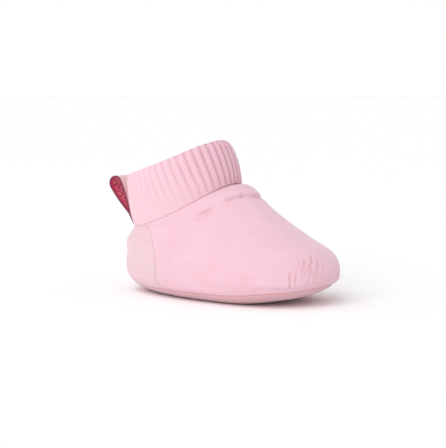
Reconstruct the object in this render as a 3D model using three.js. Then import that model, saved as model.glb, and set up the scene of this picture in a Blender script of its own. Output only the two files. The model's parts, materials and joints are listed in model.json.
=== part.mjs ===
// Baby bootie: padded velour foot, ribbed knit cuff folded double, and a ribbon pull loop at the back.
// Frame: millimetres, +X towards the toe, +Y to the wearer's left, +Z up.
// The origin is the centre of the flat patch that the sole rests on.
import * as THREE from 'three';

// Driving dimensions -----------------------------------------------------------------------------

// Foot
const FOOT_LENGTH = 110.6;       // heel bulge to toe tip
const FOOT_WIDTH = 58;           // across the ball of the foot
const HEEL_REACH = 46.5;         // heel bulge behind the origin
const HEEL_SETBACK = 5;          // back of the ankle seam, forward of the heel bulge
const TOE_SPRING = 6.5;          // how far the sole lifts under the toe tip
const SPRING_START = 20;         // where the sole starts to lift, ahead of the origin
const SOLE_CENTRE = 8;           // centre of the sole's outline, ahead of the origin
const FLAT_SHARE = 0.6;          // part of the sole's radius that lies flat
const HEEL_SEAM_ANGLE = 111;     // side seams, degrees round from the toe

// Ankle and cuff
const ANKLE_LENGTH = 54.2;       // ankle seam, front to back
const ANKLE_WIDTH = 43;
const ANKLE_FRONT_HEIGHT = 52;
const ANKLE_BACK_HEIGHT = 30.5;
const SIDE_DIP = 5.2;            // the seam's sides hang this far below a straight line
const MOUTH_DIP = 2.8;           // and so do the mouth's sides
const CUFF_FRONT_RISE = 20.5;
const CUFF_BACK_RISE = 24.1;
const CUFF_FRONT_LEAN = 7.2;     // the mouth's front lies this far behind the ankle's front
const CUFF_BACK_LEAN = 4.5;      // and its back this far behind the ankle's back
const CUFF_BULGE = 0.8;          // the cuff's sides swell this much at half height
const MOUTH_WIDTH = 42;
const RIB_COUNT = 48;
const RIB_DEPTH = 0.45;
const RIB_LEAN = 0.11;           // radians that the sides' ribs turn towards the heel by the mouth

// Layers
const UPPER_THICKNESS = 2;
const LINING_THICKNESS = 0.8;
const OUTSOLE_THICKNESS = 2;
const PADDING_THICKNESS = 3;
const INSOLE_THICKNESS = 1;
const PLY_THICKNESS = 1;         // one ply of rib knit
const ELASTIC_THICKNESS = 0.8;
const ELASTIC_HEIGHT = 4;
const ELASTIC_LIFT = 2.6;        // above the ankle seam
const PADDING_MARGIN = 3.4;      // padding stops this far inside the sole's edge

// Seams and clearances
const LAYER_GAP = 0.35;          // between neighbouring layers
const SEAM_ALLOWANCE = 1.25;     // panels stop this far from the line that they are sewn along
const SEAM_RADIUS = 0.65;
const SEAM_DEPTH = 1.05;         // seam's centre below the outside of the fabric
const SEAM_END_GAP = 2.6;        // a side seam stops this far short of the seams it runs into

// Pull loop
const RIBBON_WIDTH = 10;
const RIBBON_THICKNESS = 0.8;
const LOOP_LENGTH = 25.4;        // stitched root to the far end of the loop
const LOOP_RADIUS = 3.4;         // round end, to the middle of the ribbon
const LOOP_LEAN = 31.5;          // degrees back from upright
const LOOP_STANDOFF = 1.6;       // root behind the ankle seam
const LOOP_LIFT = 0.8;           // root above the ankle seam
const LOOP_TAIL = 7;             // the two plies lie together this far from the root
const TACK_THICKNESS = 0.7;
const TACK_HEIGHT = 1.4;
const TACK_OVERHANG = 0.4;       // bar tack past each edge of the ribbon

// The foot's outline --------------------------------------------------------------------------------

// One row per level, from the sole's edge up to the ankle seam. Front line: share of the way from the
// ankle's front to the toe tip, and share of the ankle's front height. Back line: share of the heel's
// setback, and share of the ankle's back height. Then the width's share of the way from ankle width to
// foot width, how much wider the front is than the back, and the squareness of the ring.
const OUTLINE = [
  { front: 0.965, frontHeight: 0.092, back: 0.0, backHeight: 0.115, width: 0.68, egg: 0.13, square: 2.33 },
  { front: 0.99, frontHeight: 0.142, back: 0.74, backHeight: 0.246, width: 0.9, egg: 0.105, square: 2.29 },
  { front: 1.0, frontHeight: 0.212, back: 1.0, backHeight: 0.426, width: 1.0, egg: 0.09, square: 2.25 },
  { front: 0.914, frontHeight: 0.404, back: 1.0, backHeight: 0.623, width: 0.87, egg: 0.06, square: 2.2 },
  { front: 0.675, frontHeight: 0.574, back: 1.0, backHeight: 0.787, width: 0.53, egg: 0.04, square: 2.1 },
  { front: 0.369, frontHeight: 0.77, back: 0.6, backHeight: 0.885, width: 0.2, egg: 0.03, square: 2.05 },
  { front: 0.159, frontHeight: 0.942, back: 0.2, backHeight: 0.951, width: 0.07, egg: 0, square: 2 },
  { front: 0, frontHeight: 1, back: 0, backHeight: 1, width: 0, egg: 0, square: 2 },
];
const ANKLE_LEVEL = OUTLINE.length - 1;
const SPRING_LEVEL = 4.6;        // the toe spring fades out by this level
const DIP_LEVEL = 3.2;           // the side dip starts at this level
const BAG_LEVEL = 2.5;           // the lining leaves the padding and follows the upper from here

const heelX = -HEEL_REACH;
const toeX = heelX + FOOT_LENGTH;
const ankleBackX = heelX + HEEL_SETBACK;
const ankleFrontX = ankleBackX + ANKLE_LENGTH;
const heelSeam = THREE.MathUtils.degToRad(HEEL_SEAM_ANGLE);
const { lerp, smoothstep, clamp } = THREE.MathUtils;

const signedPower = (value, power) => Math.sign(value) * Math.abs(value) ** power;

/** Height that the toe spring adds to the sole at a distance ahead of the origin. */
const toeSpring = (x) => TOE_SPRING * Math.max(0, (x - SPRING_START) / (toeX - SPRING_START)) ** 2;

/** One column of the outline at a level between rows, by a Catmull-Rom curve through the rows. */
function outlineAt(level, column) {
  const row = Math.min(Math.max(Math.floor(level), 0), ANKLE_LEVEL - 1);
  const t = level - row;
  const value = (index) => {
    if (index < 0) return 2 * OUTLINE[0][column] - OUTLINE[1][column];
    if (index > ANKLE_LEVEL) return 2 * OUTLINE[ANKLE_LEVEL][column] - OUTLINE[ANKLE_LEVEL - 1][column];
    return OUTLINE[index][column];
  };
  const [before, start, end, after] = [row - 1, row, row + 1, row + 2].map(value);
  const startSlope = (end - before) / 2;
  const endSlope = (after - start) / 2;
  return (2 * start - 2 * end + startSlope + endSlope) * t ** 3
    + (3 * end - 3 * start - 2 * startSlope - endSlope) * t ** 2 + startSlope * t + start;
}

/** Ring through a front point and a back point, bulging to each side as a superellipse. */
function ringPoint(angle, front, back, halfWidth, egg, square, dip) {
  const along = signedPower(Math.cos(angle), 2 / square);
  const across = signedPower(Math.sin(angle), 2 / square);
  return new THREE.Vector3(
    (front.x + back.x) / 2 + along * (front.x - back.x) / 2,
    halfWidth * across * (1 + egg * along),
    (front.z + back.z) / 2 + along * (front.z - back.z) / 2 - dip * Math.sin(angle) ** 2,
  );
}

/** Outside of the foot at a level (0 sole edge, ANKLE_LEVEL ankle seam) and an angle round from the toe. */
function footPoint(level, angle) {
  const at = (column) => outlineAt(level, column);
  const point = ringPoint(
    angle,
    { x: lerp(ankleFrontX, toeX, at('front')), z: ANKLE_FRONT_HEIGHT * at('frontHeight') },
    { x: lerp(ankleBackX, heelX, at('back')), z: ANKLE_BACK_HEIGHT * at('backHeight') },
    lerp(ANKLE_WIDTH, FOOT_WIDTH, at('width')) / 2,
    at('egg'),
    at('square'),
    SIDE_DIP * smoothstep(level, DIP_LEVEL, ANKLE_LEVEL),
  );
  point.z += toeSpring(point.x) * clamp(1 - level / SPRING_LEVEL, 0, 1);
  return point;
}

/** Underside of the foot: share 0 at the sole's centre, 1 at its edge. Flat, then rolling up to the edge. */
function solePoint(share, angle) {
  const edge = footPoint(0, angle);
  const x = lerp(SOLE_CENTRE, edge.x, share);
  const roll = Math.max(0, (share - FLAT_SHARE) / (1 - FLAT_SHARE)) ** 2;
  return new THREE.Vector3(x, edge.y * share, toeSpring(x) + (edge.z - toeSpring(edge.x)) * roll);
}

/** Outside of the cuff: share 0 at the ankle seam, 1 at the mouth. */
function cuffPoint(share, angle) {
  return ringPoint(
    angle,
    {
      x: ankleFrontX - CUFF_FRONT_LEAN * signedPower(share, 1.5),
      z: ANKLE_FRONT_HEIGHT + CUFF_FRONT_RISE * share,
    },
    {
      x: ankleBackX - CUFF_BACK_LEAN * (1 - signedPower(1 - share, 2.2)),
      z: ANKLE_BACK_HEIGHT + CUFF_BACK_RISE * share,
    },
    lerp(ANKLE_WIDTH, MOUTH_WIDTH, share) / 2 + CUFF_BULGE * 4 * share * (1 - share),
    0,
    2,
    lerp(SIDE_DIP, MOUTH_DIP, share),
  );
}

// Directions and offsets -----------------------------------------------------------------------------

const STEP = 0.001;

/** Outward direction of a surface whose first value runs up and whose second runs round from the toe. */
function facing(surface, up, angle) {
  const rise = surface(up + STEP, angle).sub(surface(up - STEP, angle));
  const round = surface(up, angle + STEP).sub(surface(up, angle - STEP));
  return round.cross(rise).normalize();
}

const soleFacing = (share, angle) => (
  share < STEP ? new THREE.Vector3(0, 0, -1) : facing(solePoint, share, angle)
);

/** Direction shared by the sole and the upper along the line that they are sewn on. */
const edgeFacing = (angle) => soleFacing(1, angle).add(facing(footPoint, 0, angle)).normalize();

const FOOT_BLEND = 1;            // levels over which the upper turns to the shared direction
const SOLE_BLEND = 0.15;         // share of the sole over which it does the same

/** A point a given depth inside the upper's outer face. */
function insideFoot(level, angle, depth) {
  const blend = 1 - smoothstep(level, 0, FOOT_BLEND);
  const out = facing(footPoint, level, angle).lerp(edgeFacing(angle), blend).normalize();
  return footPoint(level, angle).addScaledVector(out, -depth);
}

/** A point a given depth above the sole's underside. */
function insideSole(share, angle, depth) {
  const blend = smoothstep(share, 1 - SOLE_BLEND, 1);
  const out = soleFacing(share, angle).lerp(edgeFacing(angle), blend).normalize();
  return solePoint(share, angle).addScaledVector(out, -depth);
}

/** A point a given depth inside the cuff's outer face. */
const insideCuff = (share, angle, depth) => (
  cuffPoint(share, angle).addScaledVector(facing(cuffPoint, share, angle), -depth)
);

/** How far a surface value moves for one millimetre, up or round. */
const perMillimetreUp = (surface, up, angle) => (
  2 * STEP / surface(up + STEP, angle).distanceTo(surface(up - STEP, angle))
);
const perMillimetreRound = (surface, up, angle) => (
  2 * STEP / surface(up, angle + STEP).distanceTo(surface(up, angle - STEP))
);

/** Value at which a surface lies a gap away from its edge; direction is 1 up from the edge, -1 down. */
function besideEdge(surface, edge, direction, gap, angle) {
  const start = surface(edge, angle);
  let value = edge + direction * gap * perMillimetreUp(surface, edge, angle);
  for (let k = 0; k < 4; k += 1) {
    const short = gap - surface(value, angle).distanceTo(start);
    value += direction * short * perMillimetreUp(surface, value, angle);
  }
  return value;
}

/** Levels of the upper's bottom and top edges, and of the sole's and the cuff's edges, at an angle. */
const lowLevel = (angle, gap) => besideEdge(footPoint, 0, 1, gap, angle);
const highLevel = (angle, gap) => besideEdge(footPoint, ANKLE_LEVEL, -1, gap, angle);
const soleShare = (angle, gap) => besideEdge(solePoint, 1, -1, gap, angle);
const cuffShare = (angle, gap) => besideEdge(cuffPoint, 0, 1, gap, angle);

/** Depth of the inner bag: over the padding at the sole, close behind the upper from BAG_LEVEL up. */
const bagOverSole = OUTSOLE_THICKNESS + PADDING_THICKNESS + 2 * LAYER_GAP;
const bagBehindUpper = UPPER_THICKNESS + LAYER_GAP;
const bagDepth = (level) => lerp(bagOverSole, bagBehindUpper, smoothstep(level, 0, BAG_LEVEL));

// Closed solids from grids -----------------------------------------------------------------------------

/** Geometry from points and from loops of three or four indices each. */
function solid(points, faces) {
  const geometry = new THREE.BufferGeometry();
  geometry.setAttribute('position', new THREE.Float32BufferAttribute(points.flatMap((p) => p.toArray()), 3));
  geometry.setIndex(faces.flatMap(([a, b, c, d]) => (d === undefined ? [a, b, c] : [a, b, c, a, c, d])));
  geometry.computeVertexNormals();
  return geometry;
}

/** Ring whose section is a closed loop: point(i, j) for i round the ring and j round the section. */
function ring(around, sectionPoints, point) {
  const points = [];
  const faces = [];
  for (let i = 0; i < around; i += 1) {
    for (let j = 0; j < sectionPoints; j += 1) {
      points.push(point(i, j));
      const next = (i + 1) % around;
      const beside = (j + 1) % sectionPoints;
      faces.push([
        i * sectionPoints + j, next * sectionPoints + j,
        next * sectionPoints + beside, i * sectionPoints + beside,
      ]);
    }
  }
  return solid(points, faces);
}

/** Bar whose section is a closed loop, with flat ends: point(i, j) for i along it, 0 to steps. */
function bar(steps, sectionPoints, point) {
  const points = [];
  const faces = [];
  for (let i = 0; i <= steps; i += 1) {
    for (let j = 0; j < sectionPoints; j += 1) {
      points.push(point(i, j));
      const beside = (j + 1) % sectionPoints;
      if (i < steps) {
        faces.push([
          i * sectionPoints + j, (i + 1) * sectionPoints + j,
          (i + 1) * sectionPoints + beside, i * sectionPoints + beside,
        ]);
      }
    }
  }
  const last = steps * sectionPoints;
  for (let j = 1; j < sectionPoints - 1; j += 1) {
    faces.push([0, j, j + 1], [last, last + j + 1, last + j]);
  }
  return solid(points, faces);
}

/** Thin panel: point(i, j, depth) on a grid of columns by rows, with depth 0 outside and 1 inside. */
function panel(columns, rows, point) {
  const points = [];
  const faces = [];
  const stride = rows + 1;
  const inner = (columns + 1) * stride;
  for (let side = 0; side < 2; side += 1) {
    for (let i = 0; i <= columns; i += 1) {
      for (let j = 0; j <= rows; j += 1) points.push(point(i, j, side));
    }
  }
  for (let i = 0; i < columns; i += 1) {
    for (let j = 0; j < rows; j += 1) {
      const [a, b, c, d] = [i * stride + j, (i + 1) * stride + j, (i + 1) * stride + j + 1, i * stride + j + 1];
      faces.push([a, b, c, d], [inner + a, inner + d, inner + c, inner + b]);
    }
    const [low, high] = [i * stride, i * stride + rows];
    faces.push([low, inner + low, inner + low + stride, low + stride]);
    faces.push([high, high + stride, inner + high + stride, inner + high]);
  }
  const lastColumn = columns * stride;
  for (let j = 0; j < rows; j += 1) {
    faces.push([j, j + 1, inner + j + 1, inner + j]);
    faces.push([lastColumn + j, inner + lastColumn + j, inner + lastColumn + j + 1, lastColumn + j + 1]);
  }
  return solid(points, faces);
}

/** Round plate: point(i, share, side), with i round it and share from 0 at its centre to 1 at its rim. */
function plate(around, shares, point) {
  const points = [point(0, 0, 0), point(0, 0, 1)];
  const faces = [];
  const rings = shares.length;
  const index = (side, i, r) => 2 + (side * around + (i % around)) * rings + r;
  for (let side = 0; side < 2; side += 1) {
    for (let i = 0; i < around; i += 1) {
      for (const share of shares) points.push(point(i, share, side));
    }
  }
  for (let i = 0; i < around; i += 1) {
    faces.push([0, index(0, i + 1, 0), index(0, i, 0)], [1, index(1, i, 0), index(1, i + 1, 0)]);
    for (let r = 0; r < rings - 1; r += 1) {
      faces.push([index(0, i, r), index(0, i + 1, r), index(0, i + 1, r + 1), index(0, i, r + 1)]);
      faces.push([index(1, i, r), index(1, i, r + 1), index(1, i + 1, r + 1), index(1, i + 1, r)]);
    }
    const rim = rings - 1;
    faces.push([index(0, i, rim), index(0, i + 1, rim), index(1, i + 1, rim), index(1, i, rim)]);
  }
  return solid(points, faces);
}

/** Round section: a point round a centre, across its facing and the direction beside it. */
function seamPoint(centre, out, beside, corner, corners) {
  const turn = 2 * Math.PI * corner / corners;
  return centre.clone()
    .addScaledVector(out, SEAM_RADIUS * Math.cos(turn))
    .addScaledVector(beside, SEAM_RADIUS * Math.sin(turn));
}

// Pieces ------------------------------------------------------------------------------------------------

const ROUND_STEPS = 40;          // facets round the foot
const SEAM_CORNERS = 5;
const PANEL_LEVELS = [0, 0.5, 1, 1.5, 2, 2.6, 3.3, 4.2, 5.2, 6.1, ANKLE_LEVEL];
const SOLE_RINGS = [0.3, FLAT_SHARE, 0.75, 0.88, 1];

const roundAngle = (i, steps = ROUND_STEPS) => 2 * Math.PI * i / steps;

/** Sole-shaped layer between two heights above the sole's underside, stopping short of the seam line. */
const soleLayer = (low, thickness, margin) => plate(ROUND_STEPS, SOLE_RINGS, (i, share, side) => {
  const angle = roundAngle(i);
  return insideSole(share * soleShare(angle, margin), angle, low + side * thickness);
});

/** Wall panel between two angles, from the sole's seam to the ankle seam, at a depth that varies. */
function wallPanel(columns, startAngle, endAngle, depthAt, thickness) {
  const rows = PANEL_LEVELS.length - 1;
  return panel(columns, rows, (i, j, side) => {
    const middle = lerp(startAngle, endAngle, i / columns);
    const level = lerp(lowLevel(middle, SEAM_ALLOWANCE), highLevel(middle, SEAM_ALLOWANCE),
      PANEL_LEVELS[j] / ANKLE_LEVEL);
    const start = startAngle + SEAM_ALLOWANCE * perMillimetreRound(footPoint, level, startAngle);
    const end = endAngle - SEAM_ALLOWANCE * perMillimetreRound(footPoint, level, endAngle);
    return insideFoot(level, lerp(start, end, i / columns), depthAt(level) + side * thickness);
  });
}

const outsole = () => soleLayer(0, OUTSOLE_THICKNESS, SEAM_ALLOWANCE);
const solePadding = () => soleLayer(OUTSOLE_THICKNESS + LAYER_GAP, PADDING_THICKNESS, PADDING_MARGIN);
const insole = () => soleLayer(bagOverSole, INSOLE_THICKNESS, SEAM_ALLOWANCE);
const vamp = () => wallPanel(28, -heelSeam, heelSeam, () => 0, UPPER_THICKNESS);
const heelPanel = () => wallPanel(14, heelSeam, 2 * Math.PI - heelSeam, () => 0, UPPER_THICKNESS);
const vampLining = () => wallPanel(28, -heelSeam, heelSeam, bagDepth, LINING_THICKNESS);
const heelLining = () => wallPanel(14, heelSeam, 2 * Math.PI - heelSeam, bagDepth, LINING_THICKNESS);

/** Knit cuff, folded double at the mouth: two plies with room for the elastic between them. */
function ribCuff() {
  const thickness = 2 * PLY_THICKNESS + 2 * LAYER_GAP + ELASTIC_THICKNESS;
  const innerFace = thickness - PLY_THICKNESS;
  const foldSteps = 4;
  const section = [];
  for (const share of [0, 0.3, 0.65]) section.push({ share, depth: 0, foldIn: 0 });
  for (let k = 0; k <= foldSteps; k += 1) {
    const turn = Math.PI * k / foldSteps;
    section.push({ share: 1, depth: thickness / 2 * (1 - Math.cos(turn)),
      foldIn: thickness / 2 * (1 - Math.sin(turn)) });
  }
  for (const share of [0.5, 0]) section.push({ share, depth: thickness, foldIn: 0 });
  section.push({ share: 0, depth: innerFace, foldIn: 0 }, { share: 0.5, depth: innerFace, foldIn: 0 });
  for (const depth of [innerFace, PLY_THICKNESS]) section.push({ share: 1, depth, foldIn: thickness });
  section.push({ share: 0.5, depth: PLY_THICKNESS, foldIn: 0 }, { share: 0, depth: PLY_THICKNESS, foldIn: 0 });
  const shoulders = [0, 0.28, 0.72];
  return ring(RIB_COUNT * shoulders.length, section.length, (i, j) => {
    const rib = Math.floor(i / shoulders.length);
    const shoulder = shoulders[i % shoulders.length];
    const angle = roundAngle(rib + shoulder, RIB_COUNT);
    const { share, depth, foldIn } = section[j];
    const low = cuffShare(angle, SEAM_ALLOWANCE);
    const high = 1 - cuffShare(angle, foldIn);
    const groove = shoulder === 0 && depth < thickness / 2 && depth !== PLY_THICKNESS ? RIB_DEPTH : 0;
    const height = lerp(low, high, share);
    return insideCuff(height, angle + RIB_LEAN * height * Math.sin(angle), depth + groove);
  });
}

/** Elastic band between the cuff's plies, just above the ankle seam. */
function ankleElastic() {
  const depth = PLY_THICKNESS + LAYER_GAP;
  const corners = [[0, 0], [1, 0], [1, 1], [0, 1]];
  return ring(ROUND_STEPS * 2, corners.length, (i, j) => {
    const angle = roundAngle(i, ROUND_STEPS * 2);
    const [up, inward] = corners[j];
    const share = cuffShare(angle, ELASTIC_LIFT + up * ELASTIC_HEIGHT);
    return insideCuff(share, angle, depth + inward * ELASTIC_THICKNESS);
  });
}

/** Overlocked seam that joins the cuff to the foot, sunk between their edges. */
const ankleSeam = () => ring(ROUND_STEPS, SEAM_CORNERS, (i, j) => {
  const angle = roundAngle(i);
  const out = facing(cuffPoint, 0, angle).add(facing(footPoint, ANKLE_LEVEL, angle)).normalize();
  const along = cuffPoint(0, angle + STEP).sub(cuffPoint(0, angle - STEP)).normalize();
  const centre = cuffPoint(0, angle).addScaledVector(out, -SEAM_DEPTH - SEAM_RADIUS);
  return seamPoint(centre, out, out.clone().cross(along), j, SEAM_CORNERS);
});

/** Seam round the sole's edge. */
const soleSeam = () => ring(ROUND_STEPS, SEAM_CORNERS, (i, j) => {
  const angle = roundAngle(i);
  const out = edgeFacing(angle);
  const along = footPoint(0, angle + STEP).sub(footPoint(0, angle - STEP)).normalize();
  const centre = footPoint(0, angle).addScaledVector(out, -SEAM_DEPTH);
  return seamPoint(centre, out, out.clone().cross(along), j, SEAM_CORNERS);
});

/** Upright seam between the vamp and the heel panel; side is 1 on the left and -1 on the right. */
function heelSeamSide(side) {
  const angle = side * heelSeam;
  const rows = PANEL_LEVELS.length - 1;
  return bar(rows, SEAM_CORNERS, (i, j) => {
    const level = lerp(lowLevel(angle, SEAM_END_GAP), highLevel(angle, SEAM_END_GAP),
      PANEL_LEVELS[i] / ANKLE_LEVEL);
    const out = facing(footPoint, level, angle);
    const along = footPoint(level, angle + STEP).sub(footPoint(level, angle - STEP)).normalize();
    return seamPoint(insideFoot(level, angle, SEAM_DEPTH), out, along.negate(), j, SEAM_CORNERS);
  });
}

// Pull loop ------------------------------------------------------------------------------------------------

const loopRoot = cuffPoint(0, Math.PI).add(new THREE.Vector3(-LOOP_STANDOFF, 0, LOOP_LIFT));
const rootRadius = RIBBON_THICKNESS;

/** Teardrop outline, its point at the origin and its round end up: two tangents and an arc. */
function teardrop(path, pointRadius, roundRadius, pointHeight, roundHeight) {
  const slope = Math.asin((roundRadius - pointRadius) / (roundHeight - pointHeight));
  path.absarc(0, roundHeight, roundRadius, -slope, Math.PI + slope, false);
  path.absarc(0, pointHeight, pointRadius, Math.PI + slope, 2 * Math.PI - slope, false);
  path.closePath();
  return path;
}

/** Ribbon folded into a loop: its plies lie together at the root and open into a teardrop. */
function pullLoop() {
  const roundHeight = LOOP_LENGTH - LOOP_RADIUS;
  const half = RIBBON_THICKNESS / 2;
  const slope = Math.asin((LOOP_RADIUS + half - rootRadius) / roundHeight);
  const gapRadius = LOOP_TAIL * Math.tan(slope);
  const shape = teardrop(new THREE.Shape(), rootRadius, LOOP_RADIUS + half, 0, roundHeight);
  shape.holes.push(teardrop(new THREE.Path(), gapRadius, LOOP_RADIUS - half, LOOP_TAIL, roundHeight));
  const geometry = new THREE.ExtrudeGeometry(shape, {
    depth: RIBBON_WIDTH, bevelEnabled: false, curveSegments: 10,
  });
  geometry.translate(0, 0, -RIBBON_WIDTH / 2);
  geometry.rotateX(Math.PI / 2);
  geometry.rotateY(-THREE.MathUtils.degToRad(LOOP_LEAN));
  geometry.translate(loopRoot.x, loopRoot.y, loopRoot.z);
  return geometry;
}

/** Row of dense stitches that ties the loop's root down to the ankle seam. */
function loopBartack() {
  const geometry = new THREE.BoxGeometry(TACK_THICKNESS, RIBBON_WIDTH + 2 * TACK_OVERHANG, TACK_HEIGHT);
  geometry.translate(loopRoot.x + rootRadius + LAYER_GAP + TACK_THICKNESS / 2, 0, loopRoot.z - LOOP_LIFT);
  return geometry;
}

// Assembly ---------------------------------------------------------------------------------------------------

const fabric = (color, roughness) => new THREE.MeshStandardMaterial({ color, roughness, metalness: 0 });

const PIECES = [
  ['outsole', outsole, fabric(0xe7a9b4, 0.95)],
  ['sole_padding', solePadding, fabric(0xf7f4ee, 1)],
  ['insole', insole, fabric(0xf6d6dc, 0.9)],
  ['vamp', vamp, fabric(0xf8cdd7, 0.95)],
  ['heel_panel', heelPanel, fabric(0xf6cbd5, 0.95)],
  ['vamp_lining', vampLining, fabric(0xf6dade, 0.9)],
  ['heel_lining', heelLining, fabric(0xf4d8dc, 0.9)],
  ['rib_cuff', ribCuff, fabric(0xf8c6d2, 0.9)],
  ['ankle_elastic', ankleElastic, fabric(0xf2f0ec, 0.7)],
  ['ankle_seam', ankleSeam, fabric(0xeab4c1, 0.9)],
  ['sole_seam', soleSeam, fabric(0xe6b0b8, 0.9)],
  ['heel_seam_left', () => heelSeamSide(1), fabric(0xeebdc8, 0.9)],
  ['heel_seam_right', () => heelSeamSide(-1), fabric(0xeebdc8, 0.9)],
  ['pull_loop', pullLoop, fabric(0xc43558, 0.45)],
  ['loop_bartack', loopBartack, fabric(0xd98a9c, 0.8)],
];

const bootie = new THREE.Group();
for (const [name, build, material] of PIECES) {
  const mesh = new THREE.Mesh(build(), material);
  mesh.name = name;
  bootie.add(mesh);
}

export default bootie;
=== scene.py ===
"""Baby bootie: velour foot, rib knit cuff and ribbon pull loop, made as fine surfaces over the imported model.

Frame: metres, +X towards the toe, +Y to the wearer's left, +Z up, origin on the sole's flat patch.
"""
import json

import bpy
import numpy as np
from bpy.props import FloatProperty, FloatVectorProperty, IntProperty, PointerProperty
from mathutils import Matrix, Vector


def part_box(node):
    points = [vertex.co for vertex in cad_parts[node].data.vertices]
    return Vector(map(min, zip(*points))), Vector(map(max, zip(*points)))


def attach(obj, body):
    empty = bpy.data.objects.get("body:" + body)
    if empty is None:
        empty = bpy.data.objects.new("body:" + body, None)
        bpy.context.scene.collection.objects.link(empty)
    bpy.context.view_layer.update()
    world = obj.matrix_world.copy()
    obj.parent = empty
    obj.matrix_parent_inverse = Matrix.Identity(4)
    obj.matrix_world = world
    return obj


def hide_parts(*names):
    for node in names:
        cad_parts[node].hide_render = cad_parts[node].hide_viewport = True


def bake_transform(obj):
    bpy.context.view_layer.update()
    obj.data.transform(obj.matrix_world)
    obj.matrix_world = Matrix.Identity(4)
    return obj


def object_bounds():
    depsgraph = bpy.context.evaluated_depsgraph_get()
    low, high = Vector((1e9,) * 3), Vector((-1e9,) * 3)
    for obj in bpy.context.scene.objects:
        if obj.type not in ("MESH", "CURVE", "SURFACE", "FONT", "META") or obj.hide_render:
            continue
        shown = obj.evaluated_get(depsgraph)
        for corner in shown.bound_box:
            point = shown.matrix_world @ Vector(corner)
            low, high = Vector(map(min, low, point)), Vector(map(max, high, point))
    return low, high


bl_info = {
    "name": "Baby Bootie",
    "version": (1, 0, 0),
    "blender": (4, 5, 0),
    "location": "View3D > Sidebar > Bootie",
    "description": "Makes a padded velour bootie with a rib cuff and a ribbon pull loop",
    "category": "Object",
}

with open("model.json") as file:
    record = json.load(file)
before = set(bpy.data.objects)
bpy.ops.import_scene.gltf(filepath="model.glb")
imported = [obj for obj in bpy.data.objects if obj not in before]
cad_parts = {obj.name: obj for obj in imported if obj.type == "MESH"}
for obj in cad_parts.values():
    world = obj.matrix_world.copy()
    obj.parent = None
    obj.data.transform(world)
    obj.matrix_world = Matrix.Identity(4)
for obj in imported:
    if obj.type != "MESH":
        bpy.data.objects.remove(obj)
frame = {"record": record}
CAD_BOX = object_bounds()
MM = 0.001
TAU = 2 * np.pi

HEEL_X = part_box("heel_panel")[0].x
TOE_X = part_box("vamp")[1].x
FLOOR_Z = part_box("outsole")[0].z
LOOP_JOINT = next(joint for joint in frame["record"]["behaviour"]["joints"] if joint["child"] == "pull_loop")
LOOP_ROOT = np.array(LOOP_JOINT["pos_m"])

# Settings -----------------------------------------------------------------------------------------


def length(name, default, description):
    """A size, given in millimetres and kept in metres, as a property."""
    return FloatProperty(name=name, default=default * MM, description=description, unit="LENGTH", precision=5)


def angle(name, default, description):
    """An angle, given in degrees and kept in radians, as a property."""
    return FloatProperty(name=name, default=np.radians(default), description=description, subtype="ANGLE")


def colour(name, default, description):
    """A linear colour, as a property."""
    return FloatVectorProperty(
        name=name, default=default, description=description, subtype="COLOR", size=3, min=0, max=1,
    )


class BOOTIE_PG_sizes(bpy.types.PropertyGroup):
    """Sizes of the bootie's outside and of its layers."""

    foot_length: length("Foot length", (TOE_X - HEEL_X) / MM, "Heel bulge to toe tip")
    foot_width: length("Foot width", 58, "Across the ball of the foot")
    heel_setback: length("Heel setback", 5, "Back of the ankle seam, forward of the heel bulge")
    toe_spring: length("Toe spring", 6.5, "Lift of the sole under the toe tip")
    spring_start: length("Spring start", 20, "Where the sole starts to lift, ahead of the origin")
    sole_centre: length("Sole centre", 8, "Centre of the sole's outline, ahead of the origin")
    flat_share: FloatProperty(name="Flat share", default=0.6, description="Part of the sole that lies flat")
    heel_seam: angle("Heel seam", 111, "Side seams, round from the toe")
    ankle_length: length("Ankle length", 54.2, "Ankle seam, front to back")
    ankle_width: length("Ankle width", 43, "Ankle seam, side to side")
    ankle_front: length("Ankle front", 52, "Height of the ankle seam's front")
    ankle_back: length("Ankle back", 30.5, "Height of the ankle seam's back")
    side_dip: length("Side dip", 5.2, "How far the ankle seam's sides hang below a straight line")
    mouth_dip: length("Mouth dip", 2.8, "How far the mouth's sides hang below a straight line")
    cuff_front_rise: length("Cuff front rise", 20.5, "Cuff's height at the front")
    cuff_back_rise: length("Cuff back rise", 24.1, "Cuff's height at the back")
    cuff_front_lean: length("Cuff front lean", 7.2, "Mouth's front behind the ankle's front")
    cuff_back_lean: length("Cuff back lean", 4.5, "Mouth's back behind the ankle's back")
    cuff_bulge: length("Cuff bulge", 0.8, "Swell of the cuff's sides at half height")
    mouth_width: length("Mouth width", 42, "Mouth, side to side")
    upper: length("Upper", 2, "Thickness of the velour upper")
    lining: length("Lining", 0.8, "Thickness of the jersey lining")
    outsole: length("Outsole", 2, "Thickness of the velour sole")
    padding: length("Padding", 3, "Thickness of the wadding under the foot")
    insole: length("Insole", 1, "Thickness of the jersey insole")
    ply: length("Ply", 1, "Thickness of one ply of rib knit")
    elastic: length("Elastic", 0.8, "Thickness of the elastic")
    elastic_share: FloatProperty(
        name="Elastic share", default=0.1296, description="Elastic's width, as a part of the cuff's height",
    )
    layer_gap: length("Layer gap", 0.35, "Between neighbouring layers")


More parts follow.
